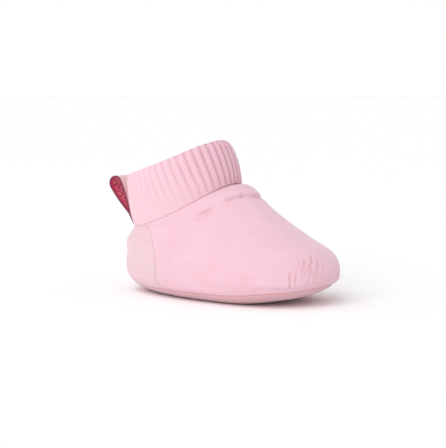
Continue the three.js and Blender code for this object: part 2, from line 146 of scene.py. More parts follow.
class BOOTIE_PG_fabric(bpy.types.PropertyGroup):
    """How the fabric lies: ribs, rolls, creases and gathers."""

    ribs: IntProperty(name="Ribs", default=48, description="Ribs round the cuff")
    rib_depth: length("Rib depth", 0.7, "Depth of the grooves between ribs")
    rib_lean: FloatProperty(
        name="Rib lean", default=0.2, description="Turn of the ribs towards the heel, by the mouth",
    )
    sole_tuck: length("Sole tuck", 0.75, "How deep the upper turns in at the sole's seam")
    tip_drop: length("Tip drop", 2.3, "How far the toe's low edge sinks at the tip")
    tip_back: length("Tip back", 2.1, "How far it draws back there")
    tip_reach: length("Tip reach", 24, "How far behind the tip that starts")
    tip_low: length("Tip low", 9, "It is whole below this height")
    tip_middle: length("Tip middle", 18, "The drawing back is gone above this one")
    tip_high: length("Tip high", 24, "and the sinking above this one")
    ankle_tuck: length("Ankle tuck", 0.25, "How deep it turns in at the front of the ankle seam")
    side_tuck: length("Side tuck", 0.12, "How deep it turns in at the heel seams")
    seam_round: length("Seam round", 2.2, "How wide a turned edge is")
    cuff_belly: length("Cuff belly", 0.7, "Swell of the cuff's front at half height")
    mouth_tuck: length("Mouth tuck", 0.5, "How far the cuff rounds in below its fold")
    mouth_round: length("Mouth round", 4.5, "How wide that rounding is")
    roll_height: length("Roll height", 1.25, "Puffed roll of velour under the front of the cuff")
    crease_depth: length("Crease depth", 1.0, "Crease under that roll")
    gather_depth: length("Gather depth", 0.55, "Folds where the toe is gathered onto the sole")
    toe_swell: length("Toe swell", 0.5, "Broad swell of the toe")
    heel_fold: length("Heel fold", 0.55, "Broad fold round the heel")
    slack: length("Slack", 0.2, "Slow unevenness of the velour")
    loop_length: length("Loop length", 25.2, "Stitched root to the loop's round end")
    loop_radius: length("Loop radius", 3.35, "Round end of the loop")
    loop_tail: length("Loop tail", 5.5, "The two plies lie together this far from the root")
    loop_lean: angle("Loop lean", 31.5, "Back from upright")
    ribbon_width: length("Ribbon width", 10, "Width of the pull loop's ribbon")
    ribbon_thickness: length("Ribbon thickness", 0.45, "Thickness of the ribbon")


class BOOTIE_PG_colours(bpy.types.PropertyGroup):
    """Colours of the fabrics."""

    velour: colour("Velour", (0.835, 0.573, 0.645), "Pale pink of the foot")
    # Painted sheen: a paler, greyer copy of the velour's pink for the heel piece, standing in for the sheen it
    # shows in the light.
    heel: colour("Heel", (0.785, 0.60, 0.64), "Paler, greyer pink of the heel piece")
    # Also the painted shade that darkens the velour in its folds.
    velour_shade: colour("Velour shade", (0.77, 0.44, 0.52), "Deeper pink down in the pile")
    sole: colour("Sole", (0.80, 0.46, 0.50), "Deeper pink of the sole")
    rib: colour("Rib", (0.84, 0.56, 0.63), "Pink of the rib crests")
    # Painted shade: the colour that the rib grooves and stitch valleys are darkened towards.
    rib_shade: colour("Rib shade", (0.62, 0.31, 0.39), "Pink of the grooves")
    jersey: colour("Jersey", (0.93, 0.70, 0.75), "Lining and insole")
    wadding: colour("Wadding", (0.90, 0.88, 0.84), "White wadding")
    elastic: colour("Elastic", (0.88, 0.86, 0.83), "White elastic")
    thread: colour("Thread", (0.86, 0.47, 0.56), "Seam thread")
    ribbon_outside: colour("Ribbon outside", (1.0, 0.64, 0.68), "Peach pink satin")
    ribbon_inside: colour("Ribbon inside", (0.70, 0.045, 0.14), "Crimson ground")
    ribbon_vine: colour("Ribbon vine", (0.95, 0.24, 0.38), "Woven vine")
    ribbon_edge: colour("Ribbon edge", (0.16, 0.03, 0.06), "Dark selvedge")
    floor: colour("Floor", (0.99, 0.99, 0.99), "Pale floor")


class BOOTIE_PG_stage(bpy.types.PropertyGroup):
    """Camera, floor and lights."""

    azimuth: angle("Azimuth", 35, "Camera, round from the wearer's right")
    elevation: angle("Elevation", 5.8, "Camera above the horizon")
    distance: length("Distance", 600, "Camera to the middle of the bootie")
    lens: FloatProperty(name="Lens", default=105.1, description="Focal length in millimetres")
    aim: FloatVectorProperty(
        name="Aim", default=(4.7 * MM, -2.8 * MM, -2.4 * MM), subtype="TRANSLATION",
        description="Where the camera looks, from the middle of the bootie",
    )
    floor_size: length("Floor size", 40000, "Width of the floor")
    ambient: FloatProperty(name="Ambient", default=0.72, description="Strength of the light from all round")
    key: FloatProperty(name="Key", default=1.35, description="Strength of the soft key light from the front")
    fill: FloatProperty(name="Fill", default=0.25, description="Strength of the fill on the heel, in watts")


# The bootie's shape -------------------------------------------------------------------------------

# One row per level from the sole's edge up to the ankle seam: front line (share of the way from the
# ankle's front to the toe tip, share of the ankle's front height), back line (share of the heel setback,
# share of the ankle's back height), width (from ankle width to foot width), egg and squareness.
OUTLINE = np.array([
    [0.965, 0.092, 0.00, 0.115, 0.68, 0.130, 2.33],
    [0.990, 0.142, 0.74, 0.246, 0.90, 0.105, 2.29],
    [1.000, 0.212, 1.00, 0.426, 1.00, 0.09, 2.25],
    [0.914, 0.404, 1.00, 0.623, 0.87, 0.06, 2.20],
    [0.675, 0.574, 1.00, 0.787, 0.53, 0.04, 2.10],
    [0.369, 0.770, 0.60, 0.885, 0.20, 0.03, 2.05],
    [0.159, 0.942, 0.20, 0.951, 0.07, 0.00, 2.00],
    [0.000, 1.000, 0.00, 1.000, 0.00, 0.00, 2.00],
])
ANKLE_LEVEL = len(OUTLINE) - 1
# Levels where the toe spring has gone, where the sides start to dip and where the lining comes up to the
# upper, and how many levels the roll under the cuff takes.
SPRING_LEVEL = 4.6
DIP_LEVEL = 3.2
BAG_LEVEL = 2.5
ROLL_LEVELS = 1.33
# Share of the sole past which its layers turn to face as its edge does.
EDGE_SHARE = 0.85
# Powers of the curves by which the front and the back of the cuff lean.
FRONT_LEAN_POWER, BACK_LEAN_POWER = 1.5, 2.2
# Step by which a surface's directions are measured.
NUDGE = 1e-3


def smoothstep(value, low, high):
    """0 below low, 1 above high, with an S-shaped rise between."""
    t = np.clip((value - low) / (high - low), 0, 1)
    return t * t * (3 - 2 * t)


def bell(value, centre, width):
    """1 at the centre, falling off as a Gaussian of that width."""
    return np.exp(-((value - centre) / width) ** 2)


def wrapped(turn):
    """The same turn between half a turn back and half a turn on."""
    return (turn + np.pi) % TAU - np.pi


def signed_power(value, power):
    """Absolute value to a power, with the sign kept."""
    return np.sign(value) * np.abs(value) ** power


def outline_at(level):
    """Outline columns at any level, by a Catmull-Rom curve through the rows."""
    rows = np.vstack([2 * OUTLINE[0] - OUTLINE[1], OUTLINE, 2 * OUTLINE[-1] - OUTLINE[-2]])
    row = np.clip(np.floor(level).astype(int), 0, ANKLE_LEVEL - 1)
    t = (level - row)[..., None]
    before, start, end, after = rows[row], rows[row + 1], rows[row + 2], rows[row + 3]
    rise, fall = (end - before) / 2, (after - start) / 2
    cubic = 2 * start - 2 * end + rise + fall
    square = 3 * end - 3 * start - 2 * rise - fall
    return np.moveaxis(((cubic * t + square) * t + rise) * t + start, -1, 0)


def ring_points(turn, front, back, half_width, egg, square, dip):
    """A ring through a front and a back point: a superellipse in plan, its sides hanging by the dip."""
    along = signed_power(np.cos(turn), 2 / square)
    across = signed_power(np.sin(turn), 2 / square)
    x = (front[0] + back[0]) / 2 + along * (front[0] - back[0]) / 2
    z = (front[1] + back[1]) / 2 + along * (front[1] - back[1]) / 2 - dip * np.sin(turn) ** 2
    return np.stack([x, half_width * across * (1 + egg * along), z], -1)


class Shape:
    """The outside of the bootie as functions of two values, from the sizes, and how its fabric lies."""

    def __init__(self, sizes, fabric):
        self.sizes, self.fabric = sizes, fabric
        self.toe_x = HEEL_X + sizes.foot_length
        self.ankle_back_x = HEEL_X + sizes.heel_setback
        self.ankle_front_x = self.ankle_back_x + sizes.ankle_length

    def spring(self, x):
        """Lift of the sole: the square of the share of the way from the spring's start to the toe tip."""
        s = self.sizes
        return s.toe_spring * np.clip((x - s.spring_start) / (self.toe_x - s.spring_start), 0, None) ** 2

    def foot(self, level, turn):
        """Rings whose front and back points follow the outline, lifted under the toe by the spring."""
        s = self.sizes
        front, front_height, back, back_height, width, egg, square = outline_at(level)
        points = ring_points(
            turn,
            (self.ankle_front_x + front * (self.toe_x - self.ankle_front_x), s.ankle_front * front_height),
            (self.ankle_back_x - back * s.heel_setback, s.ankle_back * back_height),
            (s.ankle_width + width * (s.foot_width - s.ankle_width)) / 2,
            egg, square,
            s.side_dip * smoothstep(level, DIP_LEVEL, ANKLE_LEVEL),
        )
        points[..., 2] += self.spring(points[..., 0]) * np.clip(1 - level / SPRING_LEVEL, 0, 1) + FLOOR_Z
        return points

    def sole(self, share, turn):
        """The sole's edge ring shrunk towards its centre: flat inside, rolling up as a square by the edge."""
        s = self.sizes
        edge = self.foot(0, turn)
        x = s.sole_centre + (edge[..., 0] - s.sole_centre) * share
        roll = np.clip((share - s.flat_share) / (1 - s.flat_share), 0, None) ** 2
        z = self.spring(x) + (edge[..., 2] - self.spring(edge[..., 0])) * roll
        return np.stack([x, edge[..., 1] * share, z], -1)

    def cuff(self, share, turn):
        """Rings from the ankle seam (0) to the mouth (1), leaning back and swelling a little half way up."""
        s = self.sizes
        half_width = (s.ankle_width + (s.mouth_width - s.ankle_width) * share) / 2
        return ring_points(
            turn,
            (self.ankle_front_x - s.cuff_front_lean * signed_power(share, FRONT_LEAN_POWER),
             s.ankle_front + s.cuff_front_rise * share),
            (self.ankle_back_x - s.cuff_back_lean * (1 - signed_power(1 - share, BACK_LEAN_POWER)),
             s.ankle_back + s.cuff_back_rise * share),
            half_width + s.cuff_bulge * 4 * share * (1 - share), 0, 2,
            s.side_dip + (s.mouth_dip - s.side_dip) * share,
        )

    def bag_depth(self, level):
        """Depth of the lining: over the padding at the sole, close behind the upper from BAG_LEVEL up."""
        s = self.sizes
        over_sole = s.outsole + s.padding + 2 * s.layer_gap
        return over_sole + (s.upper + s.layer_gap - over_sole) * smoothstep(level, 0, BAG_LEVEL)

    def edge_facing(self, turn):
        """Outward direction shared by the sole and the upper along the seam between them."""
        return unit(facing(self.sole, 1, turn) + facing(self.foot, 0, turn))

    def inside_foot(self, level, turn, depth):
        """A point at a depth inside the upper's face; the direction turns to the shared one at the sole."""
        own = facing(self.foot, level, turn)
        blend = (1 - smoothstep(level, 0, 1))[..., None]
        out = unit(own * (1 - blend) + self.edge_facing(turn) * blend)
        return self.foot(level, turn) - out * np.asarray(depth)[..., None]

    def inside_sole(self, share, turn, depth):
        """A point at a depth above the sole's face; the direction turns to the shared one at the edge."""
        own = facing(self.sole, np.maximum(share, 2 * NUDGE), turn)
        blend = smoothstep(share, EDGE_SHARE, 1)[..., None]
        out = unit(own * (1 - blend) + self.edge_facing(turn) * blend)
        return self.sole(share, turn) - out * np.asarray(depth)[..., None]

    def inside_cuff(self, share, turn, depth):
        """A point at a depth inside the cuff's face."""
        return self.cuff(share, turn) - facing(self.cuff, share, turn) * np.asarray(depth)[..., None]

    def settled(self, points):
        """The toe let down round its tip: ahead and low down, points sink and draw back as a smooth S."""
        fabric, x, z = self.fabric, points[..., 0], points[..., 2]
        ahead = smoothstep(x, TOE_X - fabric.tip_reach, TOE_X)
        sink = fabric.tip_drop * ahead * (1 - smoothstep(z, fabric.tip_low, fabric.tip_high))
        draw = fabric.tip_back * ahead * (1 - smoothstep(z, fabric.tip_low, fabric.tip_middle))
        return points - np.stack([draw, 0 * draw, sink], -1)


def unit(vectors):
    """The vectors at a length of one."""
    return vectors / np.linalg.norm(vectors, axis=-1, keepdims=True)


def facing(surface, up, turn):
    """Outward direction of a surface: the cross product of its steps round and up."""
    rise = surface(up + NUDGE, turn) - surface(up - NUDGE, turn)
    round_ = surface(up, turn + NUDGE) - surface(up, turn - NUDGE)
    return unit(np.cross(round_, rise))


def all_round(steps):
    """Evenly spaced turns round a whole circle."""
    return np.linspace(0, TAU, steps, endpoint=False)


def grid(first, second):
    """Two grids of values, the first running down the rows and the second along them."""
    return np.meshgrid(first, second, indexing="ij")


def run_length(points, axis):
    """Distance along a grid's lines from their start, summed over the steps."""
    step = np.linalg.norm(np.diff(points, axis=axis), axis=-1)
    start = np.zeros_like(np.take(step, [0], axis=axis))
    return np.concatenate([start, np.cumsum(step, axis=axis)], axis=axis)


def turned_edge(distance, depth, width):
    """Inward offset of a panel's turned edge: a quarter round of that depth and width."""
    near = np.clip(1 - distance / width, 0, 1)
    return depth * (1 - np.sqrt(1 - near ** 2))


# Meshes from grids --------------------------------------------------------------------------------


def make_object(name, points, faces, corner_uv, materials, cut=None):
    """A mesh object from points, quads and corner UVs; a quad's index repeated makes it a triangle.

    It is smooth apart from the faces of cut edges, which stay flat so that they don't shade the face beside.
    """
    corners = points[faces]
    cones = [np.sum(corners[:, 0] * np.cross(corners[:, k], corners[:, k + 1])) for k in (1, 2)]
    if sum(cones) < 0:
        faces, corner_uv = faces[:, ::-1], corner_uv[:, ::-1]
    keep = np.ones(faces.shape, bool)
    keep[faces[:, 2] == faces[:, 3], 3] = False
    keep[faces[:, 0] == faces[:, 1], 0] = False
    loops = keep.sum(1)
    mesh = bpy.data.meshes.new(name)
    mesh.vertices.add(len(points))
    mesh.vertices.foreach_set("co", points.astype(np.float32).ravel())
    mesh.loops.add(int(loops.sum()))
    mesh.loops.foreach_set("vertex_index", faces[keep].astype(np.int32))
    mesh.polygons.add(len(faces))
    mesh.polygons.foreach_set("loop_start", (np.cumsum(loops) - loops).astype(np.int32))
    mesh.polygons.foreach_set("use_smooth", np.ones(len(faces), bool) if cut is None else ~cut)
    layer = mesh.uv_layers.new(name="Fabric")
    layer.uv.foreach_set("vector", corner_uv[keep].astype(np.float32).ravel())
    mesh.update(calc_edges=True)
    mesh.validate()
    for material in materials:
        mesh.materials.append(material)
    thing = bpy.data.objects.new(name, mesh)
    bpy.context.scene.collection.objects.link(thing)
    return thing


def add_value(thing, name, values):
    """A number at each point of a mesh, for its material to read."""
    layer = thing.data.attributes.new(name, "FLOAT", "POINT")
    layer.data.foreach_set("value", values.astype(np.float32).ravel())


def strip_faces(columns, rows, wrap_columns, wrap_rows):
    """Quads between neighbours of a grid, and the place of each corner on the grid, wraps left unjoined."""
    sides = grid(np.arange(columns - (not wrap_columns)), np.arange(rows - (not wrap_rows)))
    i, j = (side.ravel() for side in sides)
    place = np.stack([np.stack([i + right, j + up], -1) for right, up in ((0, 0), (1, 0), (1, 1), (0, 1))], 1)
    return (place[..., 0] % columns) * rows + place[..., 1] % rows, place


def tube_object(name, points, materials, repeat, cut_rows=(), closed=True):
    """Closed sections points[i, j] in a ring, or in an open run with each end drawn to a point."""
    columns, rows = points.shape[:2]
    faces, place = strip_faces(columns, rows, closed, True)
    uv = place / np.array([columns, rows]) * np.array(repeat)
    cut = np.isin(place[:, 0, 1], cut_rows)
    points = points.reshape(-1, 3)
    if not closed:
        j = np.arange(rows)
        after, last, count = (j + 1) % rows, (columns - 1) * rows, columns * rows
        low = np.stack([np.full(rows, count), j, after, after], -1)
        high = np.stack([np.full(rows, count + 1), last + after, last + j, last + j], -1)
        points = np.concatenate([points, [points[:rows].mean(0), points[last:].mean(0)]])
        faces = np.concatenate([faces, low, high])
        uv = np.concatenate([uv, np.zeros((2 * rows, 4, 2))])
        cut = np.zeros(len(faces), bool)
    return make_object(name, points, faces, uv, materials, cut)


def shell_object(name, outer, inner, materials, size, start=(0, 0)):
    """A thin closed shell between two grids of the same shape, joined by flat rims round the border."""
    columns, rows = outer.shape[:2]
    faces, place = strip_faces(columns, rows, False, False)
    count = columns * rows
    uv = np.array(start) + place / np.array([columns - 1, rows - 1]) * np.array(size)
    index = np.arange(count).reshape(columns, rows)
    border = np.concatenate([index[:-1, 0], index[-1, :-1], index[:0:-1, -1], index[0, :0:-1]])
    after = np.roll(border, -1)
    rims = np.stack([after, border, border + count, after + count], -1)
    return make_object(
        name, np.concatenate([outer.reshape(-1, 3), inner.reshape(-1, 3)]),
        np.concatenate([faces, faces[:, ::-1] + count, rims]),
        np.concatenate([uv, uv[:, ::-1], np.zeros((len(rims), 4, 2))]), materials,
        np.arange(2 * len(faces) + len(rims)) >= 2 * len(faces),
    )


def plate_object(name, under, over, materials):
    """A round plate between two grids [round, out] whose first ring is drawn to a single point."""
    columns, rows = under.shape[:2]
    faces, _ = strip_faces(columns, rows, True, False)
    count = columns * rows
    inner = np.arange(columns) * rows
    inner_next = np.roll(inner, -1)
    rim, rim_next = inner + rows - 1, inner_next + rows - 1
    pole = np.full(columns, 2 * count)
    points = np.concatenate([under.reshape(-1, 3), over.reshape(-1, 3),
                             [under[:, 0].mean(0), over[:, 0].mean(0)]])
    faces = np.concatenate([
        faces, faces[:, ::-1] + count,
        np.stack([pole, inner_next, inner, inner], -1),
        np.stack([pole + 1, inner + count, inner_next + count, inner_next + count], -1),
        np.stack([rim_next, rim_next + count, rim + count, rim], -1),
    ])
    return make_object(name, points, faces, points[faces][..., :2], materials)


# Materials ----------------------------------------------------------------------------------------


class Nodes:
    """Adds and links the nodes of one material, group or world."""

    def __init__(self, tree):
        self.tree = tree

    def feed(self, socket, value):
        """Links an input to a socket, or gives it a value, a colour with full alpha."""
        if isinstance(value, bpy.types.NodeSocket):
            self.tree.links.new(value, socket)
        else:
            socket.default_value = (*value[:3], 1.0) if socket.type == "RGBA" else value

    def add(self, kind, inputs=None, **settings):
        """The outputs of a new node, after its settings and its inputs."""
        node = self.tree.nodes.new(kind)
        for name, value in settings.items():
            setattr(node, name, value)
        for name, value in (inputs or {}).items():
            self.feed(node.inputs[name], value)
        return node.outputs

    def math(self, operation, *values, clamp=False):
        """The result of a sum on numbers or sockets."""
        return self.add("ShaderNodeMath", dict(enumerate(values)), operation=operation, use_clamp=clamp)[0]

    def mix(self, factor, first, second):
        """A colour between two colours."""
        return self.add("ShaderNodeMix", {0: factor, 6: first, 7: second}, data_type="RGBA")[2]

    def noise(self, vector, scale, detail=2.0):
        """The height of a noise texture."""
        return self.add("ShaderNodeTexNoise", {"Vector": vector, "Scale": scale, "Detail": detail})["Fac"]

    def split(self, vector):
        """The three numbers of a vector."""
        return self.add("ShaderNodeSeparateXYZ", {0: vector})


def pile_group(nodes, given):
    """Short soft nap: fine tufts, and broad patches where the pile lies another way."""
    fine = nodes.noise(given["Vector"], given["Tuft Scale"], 3.0)
    patches = nodes.noise(given["Vector"], nodes.math("MULTIPLY", given["Tuft Scale"], 0.06))
    tone = nodes.math("ADD", nodes.math("MULTIPLY", fine, 0.8), nodes.math("MULTIPLY", patches, 0.75))
    deep = nodes.math("SUBTRACT", 1.17, tone, clamp=True)
    return {"Colour": nodes.mix(deep, given["Colour"], given["Shade"]),
            "Height": nodes.math("ADD", fine, nodes.math("MULTIPLY", patches, 0.5))}


def knit_group(nodes, given):
    """Knitted stitches: columns of V shapes, one for each whole number of the vector's X and Y."""
    across, up, _ = nodes.split(given["Vector"])
    column = nodes.math("FRACT", across)
    leg = nodes.math("ABSOLUTE", nodes.math("SUBTRACT", column, 0.5))
    row = nodes.math("FRACT", nodes.math("SUBTRACT", up, nodes.math("MULTIPLY", leg, 1.1)))
    loop = nodes.math("SINE", nodes.math("MULTIPLY", row, np.pi))
    wale = nodes.math("POWER", nodes.math("SINE", nodes.math("MULTIPLY", column, np.pi)), 0.5)
    height = nodes.math("MULTIPLY", loop, wale)
    return {"Height": height, "Valley": nodes.math("SUBTRACT", 1.0, height, clamp=True)}


def twist_group(nodes, given):
    """Twisted thread: slanting strands along the vector's X, going round with its Y."""
    along, round_, _ = nodes.split(given["Vector"])
    strand = nodes.math("SINE", nodes.math("MULTIPLY", nodes.math("ADD", along, round_), TAU))
    height = nodes.math("MULTIPLY_ADD", strand, 0.5, 0.5)
    return {"Height": height, "Valley": nodes.math("SUBTRACT", 1.0, height)}


def satin_group(nodes, given):
    """Woven satin: fine ribs across the ribbon and long floats along it, from a vector in millimetres."""
    along, across, _ = nodes.split(given["Vector"])
    weft = nodes.math("SINE", nodes.math("MULTIPLY", along, TAU * 2.2))
    stretched = nodes.add("ShaderNodeCombineXYZ", {0: nodes.math("MULTIPLY", along, 0.15), 1: across})[0]
    floats = nodes.noise(stretched, 6.0)
    height = nodes.math("ADD", nodes.math("MULTIPLY", weft, 0.2), nodes.math("MULTIPLY", floats, 0.8))
    return {"Height": height, "Sheen Lines": floats}


def vine_group(nodes, given):
    """A waving vine with a small leaf at each bend, from a vector in millimetres; 1 on the vine."""
    along, across, _ = nodes.split(given["Vector"])
    wave = nodes.math("MULTIPLY", nodes.math("SINE", nodes.math("MULTIPLY", along, TAU / 6.4)), 1.9)
    stem = nodes.math("LESS_THAN", nodes.math("ABSOLUTE", nodes.math("SUBTRACT", across, wave)), 0.5)
    step = nodes.math("SUBTRACT", nodes.math("FRACT", nodes.math("MULTIPLY", along, 1 / 3.2)), 0.5)
    side = nodes.math("MULTIPLY", nodes.math("SIGN", wave), -1.7)
    leaf_across = nodes.math("POWER", nodes.math("SUBTRACT", across, side), 2.0)
    leaf_along = nodes.math("POWER", nodes.math("MULTIPLY", step, 3.2), 2.0)
    leaf = nodes.math("LESS_THAN", nodes.math("MULTIPLY_ADD", leaf_across, 0.8, leaf_along), 0.75)
    return {"Mask": nodes.math("MAXIMUM", stem, leaf)}


# Each shared effect, and what it is given.
GROUPS = {
    "Pile": (pile_group, ("Vector", "Tuft Scale", "Colour", "Shade")),
    "Knit": (knit_group, ("Vector",)),
    "Twist": (twist_group, ("Vector",)),
    "Satin": (satin_group, ("Vector",)),
    "Vine": (vine_group, ("Vector",)),
}
# Sockets that are more than a plain number.
SOCKET_KINDS = {"Vector": "NodeSocketVector", "Colour": "NodeSocketColor", "Shade": "NodeSocketColor"}


def shared_group(name):
    """A shared effect's node group, built the first time that it is asked for."""
    if name in bpy.data.node_groups:
        return bpy.data.node_groups[name]
    group = bpy.data.node_groups.new(name, "ShaderNodeTree")
    nodes, (make, inputs) = Nodes(group), GROUPS[name]

    def add_sockets(way, labels):
        for label in labels:
            kind = SOCKET_KINDS.get(label, "NodeSocketFloat")
            group.interface.new_socket(label, in_out=way, socket_type=kind)

    add_sockets("INPUT", inputs)
    made = make(nodes, nodes.add("NodeGroupInput"))
    add_sockets("OUTPUT", made)
    out = group.nodes.new("NodeGroupOutput").inputs
    for label, socket in made.items():
        nodes.feed(out[label], socket)
    return group


class Finish(Nodes):
    """A material with one Principled shader, its uniform numbers set on its own sockets."""

    def __init__(self, name, **surface):
        self.material = bpy.data.materials.new(name)
        self.material.use_nodes = True
        super().__init__(self.material.node_tree)
        self.shader = self.tree.nodes["Principled BSDF"].inputs
        for label, value in surface.items():
            self.feed(self.shader[label.replace("_", " ")], value)

    def group(self, name, **inputs):
        """The outputs of a shared effect, given this material's own values."""
        inputs = {label.replace("_", " "): value for label, value in inputs.items()}
        return self.add("ShaderNodeGroup", inputs, node_tree=shared_group(name))

    def fabric_uv(self, scale=(1, 1, 1)):
        """The piece's own fabric coordinates, scaled."""
        uv = self.add("ShaderNodeUVMap", uv_map="Fabric")[0]
        return self.add("ShaderNodeMapping", {"Vector": uv, "Scale": scale})[0]

    def object_place(self):
        """Where a point is on the bootie, in metres."""
        return self.add("ShaderNodeTexCoord")["Object"]

    def value(self, name):
        """A number that the piece's mesh holds at each point."""
        return self.add("ShaderNodeAttribute", attribute_name=name)["Fac"]

    def done(self, colour, height=None, distance=0.0, strength=1.0):
        """The material, coloured, and raised by a height over a distance in metres."""
        self.feed(self.shader["Base Color"], colour)
        if height is not None:
            bump = self.add("ShaderNodeBump", {"Strength": strength, "Distance": distance, "Height": height})
            self.feed(self.shader["Normal"], bump[0])
        return self.material


def toned(colour, share):
    """A colour made darker or lighter: its channels times a share, up to 1."""
    return tuple(min(1.0, share * channel) for channel in colour)


def velour(name, main, shade, tuft_scale=1500.0):
    """Cotton velour: matt, with a soft sheen at glancing angles, and painted shade that makes it deeper pink
    in its folds.
    """
    finish = Finish(
        name, Roughness=0.95, Sheen_Weight=0.55, Sheen_Roughness=0.5, Sheen_Tint=(0.93, 0.90, 0.91),
        Specular_IOR_Level=0.15,
    )
    pile = finish.group("Pile", Vector=finish.object_place(), Tuft_Scale=tuft_scale, Colour=main, Shade=shade)
    # Painted shade: the fold depth mixes the pile's colour up to half way towards the shade colour.
    deep = finish.math("MULTIPLY", finish.value("fold"), 0.5, clamp=True)
    return finish.done(finish.mix(deep, pile["Colour"], shade), pile["Height"], 0.5 * MM, 0.7)


def rib_knit(name, main, shade):
    """Rib knit: stitches in columns along each rib, with painted shade that makes it deeper pink down in the
    grooves and the stitch valleys.
    """
    finish = Finish(
        name, Roughness=0.9, Sheen_Weight=0.35, Sheen_Roughness=0.5, Sheen_Tint=(0.95, 0.90, 0.91),
        Specular_IOR_Level=0.2,
    )
    knit = finish.group("Knit", Vector=finish.fabric_uv())
    plain = finish.value("stitch")
    # Painted shade: stitch valleys and rib grooves mix the colour towards the groove colour.
    valley = finish.math("MULTIPLY", knit["Valley"], finish.math("MULTIPLY", plain, 0.3))
    deep = finish.math("MULTIPLY_ADD", finish.value("fold"), 0.85, valley, clamp=True)
    height = finish.math("MULTIPLY", knit["Height"], plain)
    return finish.done(finish.mix(deep, main, shade), height, 0.3 * MM, 0.6)


def plain_knit(name, main, scale, roughness):
    """Fine jersey or woven elastic: the same stitches, small and even, with painted shade darkening their
    valleys.
    """
    finish = Finish(name, Roughness=roughness, Sheen_Weight=0.15, Sheen_Roughness=0.5, Specular_IOR_Level=0.2)
    knit = finish.group("Knit", Vector=finish.fabric_uv(scale))
    # Painted shade: the stitch valleys mix the colour towards a darker copy of it.
    return finish.done(finish.mix(knit["Valley"], main, toned(main, 0.86)), knit["Height"], 0.15 * MM, 0.5)


def thread(name, main):
    """Twisted sewing thread, with painted shade darkening the valleys of its twist."""
    finish = Finish(name, Roughness=0.7, Sheen_Weight=0.2, Specular_IOR_Level=0.3)
    twist = finish.group("Twist", Vector=finish.fabric_uv())
    # Painted shade: the twist's valleys mix the colour towards a darker copy of it.
    deep = finish.math("MULTIPLY", twist["Valley"], 0.6)
    return finish.done(finish.mix(deep, main, toned(main, 0.7)), twist["Height"], 0.12 * MM, 0.7)


def wadding(name, main):
    """Loose white polyester fibres."""
    finish = Finish(name, Roughness=1.0, Sheen_Weight=0.3, Specular_IOR_Level=0.1)
    pile = finish.group(
        "Pile", Vector=finish.object_place(), Tuft_Scale=600.0, Colour=main, Shade=toned(main, 0.85),
    )
    return finish.done(pile["Colour"], pile["Height"], 0.6 * MM, 0.8)


def satin(name, main, vine=None):
    """Satin ribbon, plain or with a woven vine, with painted sheen along its floats."""
    finish = Finish(name, Roughness=0.38, Specular_IOR_Level=0.45, Sheen_Weight=0.1, Anisotropic=0.4)
    place = finish.fabric_uv()
    weave = finish.group("Satin", Vector=place)
    # Painted sheen: the sheen lines lighten a darker copy of the colour back to the colour itself.
    ground = finish.mix(weave["Sheen Lines"], toned(main, 0.78), main)
    if vine is not None:
        ground = finish.mix(finish.group("Vine", Vector=place)["Mask"], ground, vine)
    return finish.done(ground, weave["Height"], 0.08 * MM, 0.5)


def selvedge(name, main):
    """The ribbon's tightly woven dark edge, with painted highlights lightening the crests of its twist."""
    finish = Finish(name, Roughness=0.55, Specular_IOR_Level=0.35)
    twist = finish.group("Twist", Vector=finish.fabric_uv((2.2, 0.0, 1.0)))
    # Painted highlight: the twist's crests mix the colour towards a lighter copy of it.
    return finish.done(finish.mix(twist["Valley"], toned(main, 1.8), main))


# Pieces -------------------------------------------------------------------------------------------

VAMP_GRID, HEEL_GRID = (300, 130), (130, 110)
LINING_VAMP_GRID, LINING_HEEL_GRID = (150, 60), (80, 50)
PLATE_ROUND = 180
SEAM_GAP = 0.005 * MM


def settings(context):
    """The bootie's sizes, fabric and colours."""
    scene = context.scene
    return scene.bootie_sizes, scene.bootie_fabric, scene.bootie_colours


def fix(piece, node):
    """Hides the model's node that a piece of the foot stands for, and hangs the piece on the bootie's body."""
    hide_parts(node)
    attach(piece, "bootie")


# Creases in the velour, each from one place to another: turn in degrees, level, and the share of full depth.
CREASES = (
    ((-33, 5.88), (-17, 5.84), 1.0),
    ((-18, 5.84), (-2, 5.70), 0.8),
    ((0, 5.68), (16, 5.62), 1.0),
    ((20, 5.70), (34, 5.80), 0.6),
    ((-60, 5.64), (-51, 5.74), 0.75),
    ((-66, 5.42), (-56, 5.45), 0.45),
    ((52, 5.55), (62, 5.72), 0.6),
)
# Small folds and crumples at the near side of the toe, and plainer ones past the tip, given the same way.
TOE_FOLDS = (
    ((-35, 2.4), (-35, 1.3), 1.0),
    ((-31, 2.25), (-32, 1.7), 0.5),
    ((-29, 2.6), (-30, 2.4), 0.4),
    ((-26, 2.75), (-27, 2.5), 0.7),
    ((-23, 2.75), (-25, 2.5), 0.9),
    ((-21, 2.55), (-24, 2.35), 0.6),
    ((-14, 3.0), (-17, 2.75), 0.7),
    ((-19, 2.6), (-19, 2.4), 0.8),
    ((-21, 2.3), (-22, 1.65), 0.4),
    ((-10, 2.8), (-12, 2.5), 0.4),
    ((-7, 2.55), (-8, 2.2), 0.3),
    ((-44, 1.4), (-43, 0.8), 0.5),
    ((-13, 1.5), (-12, 0.7), 0.4),
    ((-3, 1.9), (-2, 0.8), 0.4),
    ((9, 2.2), (8, 1.0), 0.5),
    ((19, 2.7), (17, 1.2), 0.6),
    ((27, 2.3), (29, 1.6), 0.5),
    ((34, 2.5), (34, 1.2), 0.9),
    ((42, 1.7), (44, 0.8), 0.5),
)
# About how many millimetres a radian round and a level up come to, so that strokes are drawn in millimetres.
ROUND_SCALE, LEVEL_SCALE = 27, 9


